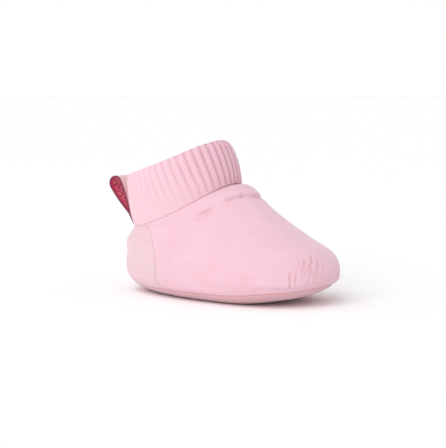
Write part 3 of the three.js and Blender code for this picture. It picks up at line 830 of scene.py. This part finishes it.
def strokes_at(strokes, level, turn, width, end_width):
    """The strokes' shares, each falling off as a Gaussian across its line and past its ends."""
    total = np.zeros_like(level)
    for start, end, share in strokes:
        run, rise = np.radians(end[0] - start[0]) * ROUND_SCALE, (end[1] - start[1]) * LEVEL_SCALE
        right, up = (turn - np.radians(start[0])) * ROUND_SCALE, (level - start[1]) * LEVEL_SCALE
        size = np.hypot(run, rise)
        along, across = (right * run + up * rise) / size, (up * run - right * rise) / size
        past = along - np.clip(along, 0, size)
        total += share * (bell(across, 0, width) * bell(past, 0, end_width))
    return total


def panel_relief(fabric, level, turn):
    """Outward offset of the velour, and how deep in a fold each point is, which the velour's colour darkens by
    as painted shade.

    The roll is a half sine between the ankle seam and the creases below it, fading round to the sides.
    Creases and toe folds are narrow Gaussian grooves with a little swell beside them, and crossed sines
    rumple the velour between the folds. The heel has one broad fold, the toe a broad swell, and two slow
    sines in turn and level leave the rest a little uneven.
    """
    front = bell(turn, 0.05, 0.85)
    roll = fabric.roll_height * front * np.sin(np.pi * np.clip((ANKLE_LEVEL - level) / ROLL_LEVELS, 0, 1))
    crease, swell = (strokes_at(CREASES, level, turn, width, 1.4) for width in (0.62, 2.4))
    folds = strokes_at(TOE_FOLDS, level, turn, 0.5, 0.7)
    rims = strokes_at(TOE_FOLDS, level, turn, 1.6, 1.2)
    puckers = 0.5 + 0.5 * np.sin(46 * turn + 1.5 * np.sin(7 * turn))
    puckers *= bell(level, 0.5, 0.5) * (0.35 + 0.65 * bell(turn, 0, 1.0))
    crumpled = bell(level, 2.7, 0.4) * bell(turn, -0.33, 0.2)
    rumple = np.sin(52 * turn + 6 * level + 2 * np.sin(6 * level)) * np.sin(11 * level - 13 * turn + 1)
    rumple = rumple * crumpled
    heel_fold = fabric.heel_fold * bell(level, 2.9, 0.35) * smoothstep(np.abs(turn), 2.1, 2.7)
    slack = np.sin(3 * turn + 1.3 * level) * np.sin(1.7 * level + 0.6)
    slack += 0.5 * np.sin(8 * turn - 2.1 * level) * np.sin(3.3 * level + 2 * turn)
    relief = roll + fabric.slack * slack - heel_fold + fabric.crease_depth * (0.35 * swell - 1.3 * crease)
    relief += fabric.toe_swell * bell(level, 2.8, 0.8) * bell(turn, 0.2, 0.8)
    relief -= fabric.gather_depth * (1.7 * folds - 0.8 * rims + 0.22 * puckers - 0.4 * rumple)
    # Painted shade: creases, toe folds, puckers and the crumpled patch by the toe darken the velour by this.
    deep = np.clip(0.8 * crease + 1.1 * folds + 0.25 * puckers - 0.5 * rumple + 0.3 * crumpled, 0, 1)
    return relief, deep


def velour_panel(name, shape, start, end, size, material):
    """A panel of the upper between two seams: rings of the foot, relieved, with all edges turned in."""
    fabric = shape.fabric
    spread = np.linspace(-1, 1, size[0])
    turns = (start + end) / 2 + (end - start) / 2 * (0.6 * spread + 0.4 * spread ** 3)
    turn, level = grid(turns, np.linspace(0, 1, size[1]) ** 1.15 * ANKLE_LEVEL)
    plain = shape.foot(level, turn)
    from_sole, from_start = run_length(plain, 1), run_length(plain, 0)
    to_ankle, to_end = from_sole[:, -1:] - from_sole, from_start[-1:] - from_start
    to_seam = np.minimum(from_start, to_end)
    relief, fold = panel_relief(fabric, level, wrapped(turn))
    ankle_tuck = fabric.ankle_tuck * (0.04 + 0.96 * bell(wrapped(turn), 0, 0.65))
    tuck = turned_edge(from_sole, fabric.sole_tuck, fabric.seam_round)
    tuck = tuck + turned_edge(to_ankle, ankle_tuck, fabric.seam_round)
    tuck = tuck + turned_edge(to_seam, fabric.side_tuck, fabric.seam_round / 2)
    fade = smoothstep(np.minimum(np.minimum(from_sole, to_ankle), to_seam), 0, fabric.seam_round)
    inset = SEAM_GAP * (smoothstep(from_start, 0, 2 * MM) - smoothstep(to_end, 0, 2 * MM))
    aside = unit(np.gradient(plain, axis=0)) * inset[..., None]
    outer, inner = (shape.settled(shape.inside_foot(level, turn, depth) - aside)
                    for depth in (tuck - relief * fade, shape.sizes.upper))
    piece = shell_object(name, outer, inner, [material], (80, 50))
    # How deep in a fold each point is, for the velour's painted shade.
    add_value(piece, "fold", np.concatenate([fold.ravel(), np.zeros(fold.size)]))
    return piece


def lining_panel(name, shape, start, end, size, material):
    """A panel of the inner bag: the same rings, at the lining's depth."""
    turn, level = grid(np.linspace(start, end, size[0]), np.linspace(0, ANKLE_LEVEL, size[1]))
    outer, inner = (shape.settled(shape.inside_foot(level, turn, shape.bag_depth(level) + behind))
                    for behind in (0, shape.sizes.lining))
    return shell_object(name, outer, inner, [material], (70, 45))


def sole_plate(name, shape, low, thickness, margin, crown, material):
    """A layer of the sole from a height up: crowned in the middle as a parabola, its rim rounded."""
    turns = all_round(PLATE_ROUND)
    turn, share = grid(turns, np.concatenate([np.linspace(0.02, 0.9, 26), np.linspace(0.92, 1, 10)]))
    edge = shape.foot(0, turns)
    radius = np.hypot(edge[:, 0] - shape.sizes.sole_centre, edge[:, 1])[:, None]
    reach = share * (1 - margin / radius)
    rim = turned_edge((1 - share) * radius, thickness * 0.42, 1.6 * MM)
    swell = crown * (1 - share ** 2)
    under, over = (shape.settled(shape.inside_sole(reach, turn, depth))
                   for depth in (low + rim, low + thickness - rim + swell))
    return plate_object(name, under, over, [material])


def cuff_section(sizes):
    """The cuff's section, all round: outer ply, fold, inner ply, and the gap's two faces with its own fold.

    Each point has its share of the height, its depth, how far below the mouth the fold's half circle puts
    it, how much of the ribs it shows, and how far outside it is.
    """
    whole = 2 * sizes.ply + 2 * sizes.layer_gap + sizes.elastic
    half, gap = whole / 2, whole / 2 - sizes.ply
    up, down = np.linspace(0, 1, 36), np.linspace(1, 0, 20)
    bend, inner_bend = np.linspace(0, np.pi, 12)[1:-1], np.linspace(np.pi, 0, 6)[1:-1]
    stretches = (
        (up, 0, half, 1, 1),
        (1, half * (1 - np.cos(bend)), half * (1 - np.sin(bend)), np.where(bend < np.pi / 2, 1, 0.6),
         (1 + np.cos(bend)) / 2),
        (down, whole, half, 0.6, 0),
        (down[::-1], whole - sizes.ply, half, 0, 0),
        (1, half - gap * np.cos(inner_bend), half - gap * np.sin(inner_bend), 0, 0),
        (down, sizes.ply, half, 0, 0),
    )
    return np.concatenate([np.stack(np.broadcast_arrays(*stretch)) for stretch in stretches], axis=1)


RIB_STEPS = 14
RIB_POWER = 0.9
CUFF_SLACK = 0.25 * MM


def cuff_points(shape):
    """The cuff's section carried round.

    Gives its points, the rows at its cut edges, how deep in a groove each point is and how clear the stitches
    are. A groove is one minus the size of a sine to a power. Grooves are deep at the front, fall off as a
    Gaussian towards the heel and flatten low down there. The ankle's edge and the mouth round in as quarter
    circles, the front swells as a half sine, and slow sines leave the sides a little slack.
    """
    sizes, fabric = shape.sizes, shape.fabric
    share, depth, fold_in, face, outside = cuff_section(sizes)
    cut_rows = np.flatnonzero((share == 0) & (np.roll(share, -1) == 0))
    rib = np.arange(fabric.ribs * RIB_STEPS) / RIB_STEPS
    turn, share = grid(rib / fabric.ribs * TAU, share)
    rise = np.linalg.norm(shape.cuff(1, turn) - shape.cuff(0, turn), axis=-1)
    height = share * (1 - fold_in / rise) + (1 - share) * SEAM_GAP / rise
    front = bell(wrapped(turn), 0, 1.0)
    groove = (1 - np.abs(np.sin(np.pi * rib)) ** RIB_POWER)[:, None]
    flatten = (1 - front) * (1 - smoothstep(share, 0.1, 0.7))
    rib_depth = fabric.rib_depth * (0.3 + 0.85 * front) * (1 - 0.95 * flatten)
    rib_depth *= smoothstep(share * rise, 0, fabric.seam_round) * np.where(face > 0.8, 1, -1) * face
    edge_tuck = fabric.ankle_tuck * (0.04 + 0.6 * front ** 4)
    tuck = turned_edge(share * rise, edge_tuck, fabric.seam_round) * (face > 0.9)
    tuck = tuck + turned_edge((1 - share) * rise, fabric.mouth_tuck, fabric.mouth_round) * outside
    sway = CUFF_SLACK * np.sin(3 * turn + 4 * share) * smoothstep(share, 0.05, 0.5)
    sway = sway - fabric.cuff_belly * front * np.sin(np.pi * share)
    leaned = turn + (fabric.rib_lean * np.sin(turn) + 0.012 * np.sin(5 * turn + 3 * share)) * height
    points = shape.inside_cuff(height, leaned, depth + groove * rib_depth + tuck + sway)
    # Painted shade: how deep in a groove each point is, strongest at the front, darkens the rib knit's colour.
    fold = groove * np.where(face > 0, (0.2 + 0.8 * front) * (1 - 0.9 * flatten), 0)
    return points, cut_rows, fold, 0.2 + 0.8 * front


class BOOTIE_OT_cuff(bpy.types.Operator):
    """Makes the rib knit cuff, folded double at the mouth"""

    bl_idname = "bootie.cuff"
    bl_label = "Cuff"

    def execute(self, context):
        sizes, fabric, colours = settings(context)
        points, cut_rows, fold, stitch = cuff_points(Shape(sizes, fabric))
        material = rib_knit("Rib knit", colours.rib, colours.rib_shade)
        cuff = tube_object("knit_cuff", points, [material], (fabric.ribs * 2, 46), cut_rows)
        # The grooves' depth, for the rib knit's painted shade.
        add_value(cuff, "fold", fold)
        add_value(cuff, "stitch", stitch)
        fix(cuff, "rib_cuff")
        return {"FINISHED"}


class BOOTIE_OT_upper(bpy.types.Operator):
    """Makes the velour vamp and heel panel"""

    bl_idname = "bootie.upper"
    bl_label = "Upper"

    def execute(self, context):
        sizes, fabric, colours = settings(context)
        shape, seam = Shape(sizes, fabric), sizes.heel_seam
        material = velour("Velour", colours.velour, colours.velour_shade)
        vamp = velour_panel("velour_vamp", shape, -seam, seam, VAMP_GRID, material)
        fix(vamp, "vamp")
        # Painted sheen: the heel piece gets a paler, greyer copy of the velour.
        material = velour("Heel velour with painted sheen", colours.heel, colours.velour_shade)
        heel = velour_panel("velour_heel", shape, seam, TAU - seam, HEEL_GRID, material)
        fix(heel, "heel_panel")
        return {"FINISHED"}


class BOOTIE_OT_sole(bpy.types.Operator):
    """Makes the velour sole, its wadding and the jersey insole"""

    bl_idname = "bootie.sole"
    bl_label = "Sole"

    def execute(self, context):
        sizes, fabric, colours = settings(context)
        shape = Shape(sizes, fabric)
        under = velour("Sole velour", colours.sole, toned(colours.sole, 0.82), 1300.0)
        outsole = sole_plate("velour_sole", shape, 0.0, sizes.outsole, 0.1 * MM, 0.0, under)
        fix(outsole, "outsole")
        low = sizes.outsole + sizes.layer_gap
        fibres = wadding("Wadding", colours.wadding)
        pad = sole_plate("sole_wadding", shape, low, sizes.padding, 3.4 * MM, 0.0, fibres)
        fix(pad, "sole_padding")
        low += sizes.padding + sizes.layer_gap
        jersey = plain_knit("Insole jersey", colours.jersey, (900, 900, 1), 0.9)
        insole = sole_plate("jersey_insole", shape, low, sizes.insole, 0.8 * MM, 0.3 * MM, jersey)
        fix(insole, "insole")
        return {"FINISHED"}


class BOOTIE_OT_lining(bpy.types.Operator):
    """Makes the jersey lining inside the foot"""

    bl_idname = "bootie.lining"
    bl_label = "Lining"

    def execute(self, context):
        sizes, fabric, colours = settings(context)
        shape = Shape(sizes, fabric)
        material = plain_knit("Lining jersey", colours.jersey, (1, 1, 1), 0.9)
        margin = 0.012
        start, end = sizes.heel_seam + margin, sizes.heel_seam - margin
        vamp = lining_panel("jersey_vamp_lining", shape, -end, end, LINING_VAMP_GRID, material)
        fix(vamp, "vamp_lining")
        heel = lining_panel("jersey_heel_lining", shape, start, TAU - start, LINING_HEEL_GRID, material)
        fix(heel, "heel_lining")
        return {"FINISHED"}


class BOOTIE_OT_elastic(bpy.types.Operator):
    """Makes the elastic band between the cuff's plies"""

    bl_idname = "bootie.elastic"
    bl_label = "Elastic"

    def execute(self, context):
        sizes, fabric, colours = settings(context)
        seam_low = sizes.ankle_back - 0.7 * sizes.side_dip
        lift = (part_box("ankle_elastic")[0].z - seam_low) / sizes.cuff_back_rise
        side = np.array([0, 1, 2, 3, 3, 2, 1, 0]) / 3
        turn, place = grid(all_round(220), np.arange(side.size))
        share = lift + side[place] * sizes.elastic_share
        depth = sizes.ply + sizes.layer_gap + np.where(place < side.size / 2, 0, sizes.elastic)
        points = Shape(sizes, fabric).inside_cuff(share, turn, depth)
        material = plain_knit("Woven elastic", colours.elastic, (1, 1, 1), 0.6)
        band = tube_object("elastic_band", points, [material], (180, 12))
        fix(band, "ankle_elastic")
        return {"FINISHED"}


# How deep each thread lies, and its radius; the overlock and the tack are wound.
OVERLOCK_DEPTH, OVERLOCK_RADIUS, OVERLOCK_THREAD, OVERLOCK_TURNS = 1.9 * MM, 0.42 * MM, 0.24 * MM, 110
WELT_DEPTH, WELT_RADIUS = 1.25 * MM, 0.5 * MM
HEEL_THREAD_DEPTH, HEEL_THREAD_RADIUS = 1.3 * MM, 0.4 * MM
TACK_THREAD, TACK_TURNS = 0.17 * MM, 26


def thread_object(name, path, out, radius, corners, material, repeat, closed=True, winding=(0, 0)):
    """A thread along a path: circles in the plane of two directions that are square to the path.

    A winding's radius and turns first make the path a helix: its angle grows evenly along the path.
    """
    along = unit(np.gradient(path, axis=0))
    square = unit(out - along * np.sum(out * along, -1, keepdims=True))
    beside = np.cross(along, square)
    wind = all_round(len(path))[:, None] * winding[1]
    path = path + winding[0] * (square * np.cos(wind) + beside * np.sin(wind))
    around = all_round(corners)[None, :, None]
    points = path[:, None] + radius * (square[:, None] * np.cos(around) + beside[:, None] * np.sin(around))
    return tube_object(name, points, [material], repeat, closed=closed)


class BOOTIE_OT_seams(bpy.types.Operator):
    """Makes the overlocked ankle seam, the sole's welt and the two heel seams"""

    bl_idname = "bootie.seams"
    bl_label = "Seams"

    def execute(self, context):
        sizes, fabric, colours = settings(context)
        shape = Shape(sizes, fabric)
        material = thread("Seam thread", colours.thread)
        turns = all_round(1600)
        out = unit(facing(shape.cuff, 0, turns) + facing(shape.foot, ANKLE_LEVEL, turns))
        overlock = thread_object(
            "ankle_overlock", shape.foot(ANKLE_LEVEL, turns) - out * OVERLOCK_DEPTH, out, OVERLOCK_THREAD, 6,
            material, (330, 2), winding=(OVERLOCK_RADIUS, OVERLOCK_TURNS),
        )
        fix(overlock, "ankle_seam")

        turns = all_round(500)
        out = shape.edge_facing(turns)
        path = shape.settled(shape.foot(0, turns) - out * WELT_DEPTH)
        welt = thread_object("sole_welt", path, out, WELT_RADIUS, 10, material, (220, 2))
        fix(welt, "sole_seam")

        level = np.linspace(0.35, ANKLE_LEVEL - 0.4, 120)
        for side, label in ((1, "left"), (-1, "right")):
            turns = np.full_like(level, side * sizes.heel_seam)
            path, out = shape.inside_foot(level, turns, HEEL_THREAD_DEPTH), facing(shape.foot, level, turns)
            seam = thread_object(
                f"heel_seam_{label}_thread", path, out, HEEL_THREAD_RADIUS, 10, material, (50, 2),
                closed=False,
            )
            fix(seam, f"heel_seam_{label}")
        return {"FINISHED"}


RIBBON_STEPS = (260, 15)
RIBBON_WAVE, RIBBON_WAVE_RUN = 0.12 * MM, 5 * MM
SIDEWAYS = np.array([0, 1.0, 0])
# The ribbon's tail, ahead of the root and above it: its end inside the seam, where it heads, and the root.
TAIL_BEND = np.array([[2.7, -0.5], [1.0, -0.6], [0.1, -0.5]]) * MM


def ribbon_path(fabric, ahead, up):
    """Middle line of the ribbon: in from the ankle seam, up one side of a teardrop, round and back down.

    The two plies lie together from the root for the tail, then open along a curve into the round end: the
    half width grows from one ply to the radius as a power of what is left, and the end is a half circle.
    The tails turn in to the ankle seam along a quadratic curve.
    """
    ply = 0.6 * fabric.ribbon_thickness
    radius = fabric.loop_radius
    top = fabric.loop_length - radius
    rise = np.linspace(0, 1, 60, endpoint=False) * top
    opening = np.clip((rise - fabric.loop_tail) / (top - fabric.loop_tail), 0, 1)
    half = ply + (radius - ply) * (1 - (1 - opening) ** 1.5)
    arc = np.linspace(0, np.pi, 60)
    flat = np.concatenate([
        np.stack([-half, rise], -1),
        np.stack([-radius * np.cos(arc), top + radius * np.sin(arc)], -1),
        np.stack([half, rise], -1)[::-1],
    ])
    loop = LOOP_ROOT + flat[:, :1] * ahead + flat[:, 1:] * up
    into = np.linspace(0, 1, 14, endpoint=False)[:, None]
    tail = (1 - into) ** 2 * TAIL_BEND[0] + 2 * into * (1 - into) * TAIL_BEND[1] + into ** 2 * TAIL_BEND[2]
    tail = LOOP_ROOT + np.stack([tail[:, 0], 0 * tail[:, 0], tail[:, 1]], -1)
    return np.concatenate([tail - np.array([0, 0, ply]), loop, tail[::-1] + np.array([0.3 * MM, 0, ply])])


class BOOTIE_OT_ribbon(bpy.types.Operator):
    """Makes the ribbon pull loop"""

    bl_idname = "bootie.ribbon"
    bl_label = "Pull loop"

    def execute(self, context):
        _, fabric, colours = settings(context)
        width = fabric.ribbon_width
        up = np.array([-np.sin(fabric.loop_lean), 0, np.cos(fabric.loop_lean)])
        path = ribbon_path(fabric, np.array([up[2], 0, -up[0]]), up)
        run = run_length(path, 0)
        even = np.linspace(0, run[-1], RIBBON_STEPS[0])
        path = np.stack([np.interp(even, run, path[:, axis]) for axis in range(3)], -1)
        out = np.cross(unit(np.gradient(path, axis=0)), SIDEWAYS)[:, None]
        across = np.linspace(-0.5, 0.5, RIBBON_STEPS[1])[:, None]
        wave = RIBBON_WAVE * np.sin(even / RIBBON_WAVE_RUN)[:, None, None] * np.cos(np.pi * across)
        middle = path[:, None] + SIDEWAYS * across * width + out * wave
        half = out * fabric.ribbon_thickness / 2
        materials = [
            satin("Ribbon outside", colours.ribbon_outside),
            satin("Ribbon inside", colours.ribbon_inside, colours.ribbon_vine),
            selvedge("Ribbon edge", colours.ribbon_edge),
        ]
        size = np.array([run[-1], width]) / MM
        ribbon = shell_object("ribbon_loop", middle + half, middle - half, materials, size, (0, -size[1] / 2))
        strip = np.arange((RIBBON_STEPS[0] - 1) * (RIBBON_STEPS[1] - 1)) % (RIBBON_STEPS[1] - 1)
        hem = (strip == 0) | (strip == strip.max())
        kinds = np.full(len(ribbon.data.polygons), 2)
        kinds[:2 * strip.size] = np.concatenate([np.where(hem, 2, face) for face in (0, 1)])
        ribbon.data.polygons.foreach_set("material_index", kinds.astype(np.int32))
        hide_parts("pull_loop")
        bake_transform(ribbon)
        return {"FINISHED"}


class BOOTIE_OT_bartack(bpy.types.Operator):
    """Makes the bar of dense stitches at the loop's root"""

    bl_idname = "bootie.bartack"
    bl_label = "Bar tack"

    def execute(self, context):
        _, _, colours = settings(context)
        low, high = (np.array(corner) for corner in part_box("loop_bartack"))
        middle, half = (low + high) / 2, (high - low) / 2
        wind = np.linspace(0, TAU * TACK_TURNS, 480)
        along = np.linspace(-1, 1, wind.size)
        out = np.stack([np.cos(wind), 0 * wind, np.sin(wind)], -1)
        path = middle + half * (out + SIDEWAYS * along[:, None])
        material = thread("Tack thread", colours.thread)
        tack = thread_object("root_bartack", path, out, TACK_THREAD, 6, material, (200, 2), closed=False)
        fix(tack, "loop_bartack")
        return {"FINISHED"}


# Stage --------------------------------------------------------------------------------------------

KEY_DIRECTION, KEY_SPREAD = (0.05, -1.0, 0.9), np.radians(50)
FILL_DIRECTION, FILL_DISTANCE, FILL_SIZE = (-1.0, -0.7, 0.2), 0.6, 0.4
FLOOR_THICKNESS = 0.02


def soft_light(name, kind, direction, place=(0, 0, 0), **look):
    """A light that shines from a direction, with its strength and size."""
    data = bpy.data.lights.new(name, kind)
    for key, value in look.items():
        setattr(data, key, value)
    lamp = bpy.data.objects.new(name, data)
    lamp.location = place
    lamp.rotation_euler = Vector(direction).to_track_quat("Z", "Y").to_euler()
    bpy.context.scene.collection.objects.link(lamp)


class BOOTIE_OT_stage(bpy.types.Operator):
    """Makes the camera, the pale floor and the soft lights"""

    bl_idname = "bootie.stage"
    bl_label = "Stage"

    def execute(self, context):
        stage, scene = context.scene.bootie_stage, context.scene
        low, high = CAD_BOX
        middle = (low + high) / 2
        back = Vector((np.sin(stage.azimuth) * np.cos(stage.elevation),
                       -np.cos(stage.azimuth) * np.cos(stage.elevation), np.sin(stage.elevation)))
        camera = bpy.data.objects.new("Camera", bpy.data.cameras.new("Camera"))
        camera.data.lens = stage.lens
        camera.location = middle + Vector(stage.aim) + back * stage.distance
        camera.rotation_euler = (-back).to_track_quat("-Z", "Y").to_euler()
        scene.collection.objects.link(camera)
        scene.camera = camera

        radius = np.linspace(0.01, 1, 40) ** 2 * stage.floor_size / 2
        turn, reach = grid(all_round(96), radius)
        points = np.stack([reach * np.cos(turn), reach * np.sin(turn), 0 * turn + low.z], -1)
        finish = Finish("Floor", Roughness=0.9, Specular_IOR_Level=0.0)
        material = finish.done(scene.bootie_colours.floor)
        plate_object("studio_floor", points - np.array([0, 0, FLOOR_THICKNESS]), points, [material])

        scene.world = bpy.data.worlds.new("Studio")
        scene.world.use_nodes = True
        nodes = Nodes(scene.world.node_tree)
        seen = nodes.add("ShaderNodeLightPath")["Is Camera Ray"]
        background = nodes.tree.nodes["Background"].inputs
        nodes.feed(background["Color"], (1, 1, 1))
        nodes.feed(background["Strength"], nodes.math("MULTIPLY_ADD", seen, 1 - stage.ambient, stage.ambient))
        soft_light("Key light", "SUN", KEY_DIRECTION, energy=stage.key, angle=KEY_SPREAD)
        side = Vector(FILL_DIRECTION).normalized() * FILL_DISTANCE
        soft_light("Heel fill", "AREA", side, middle + side, energy=stage.fill, size=FILL_SIZE)
        scene.view_settings.view_transform = "Standard"
        return {"FINISHED"}


# Panel and registration ---------------------------------------------------------------------------

OPERATORS = (
    BOOTIE_OT_stage, BOOTIE_OT_sole, BOOTIE_OT_upper, BOOTIE_OT_cuff, BOOTIE_OT_lining,
    BOOTIE_OT_elastic, BOOTIE_OT_seams, BOOTIE_OT_ribbon, BOOTIE_OT_bartack,
)
SETTINGS = {
    "bootie_sizes": BOOTIE_PG_sizes, "bootie_fabric": BOOTIE_PG_fabric,
    "bootie_colours": BOOTIE_PG_colours, "bootie_stage": BOOTIE_PG_stage,
}


class BOOTIE_PT_panel(bpy.types.Panel):
    """Lists the bootie's pieces and settings"""

    bl_idname = "BOOTIE_PT_panel"
    bl_label = "Baby bootie"
    bl_space_type = "VIEW_3D"
    bl_region_type = "UI"
    bl_category = "Bootie"

    def draw(self, context):
        for operator in OPERATORS:
            self.layout.operator(operator.bl_idname)
        for name, group in SETTINGS.items():
            box = self.layout.box()
            for setting in group.__annotations__:
                box.prop(getattr(context.scene, name), setting)


def register():
    for kind in (*SETTINGS.values(), *OPERATORS, BOOTIE_PT_panel):
        bpy.utils.register_class(kind)
    for name, group in SETTINGS.items():
        setattr(bpy.types.Scene, name, PointerProperty(type=group))


def unregister():
    for name in SETTINGS:
        delattr(bpy.types.Scene, name)
    for kind in (BOOTIE_PT_panel, *reversed(OPERATORS), *reversed(SETTINGS.values())):
        bpy.utils.unregister_class(kind)


def main():
    register()
    for operator in OPERATORS:
        group, name = operator.bl_idname.split(".")
        getattr(getattr(bpy.ops, group), name)()
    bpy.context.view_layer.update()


if __name__ == "__main__":
    main()
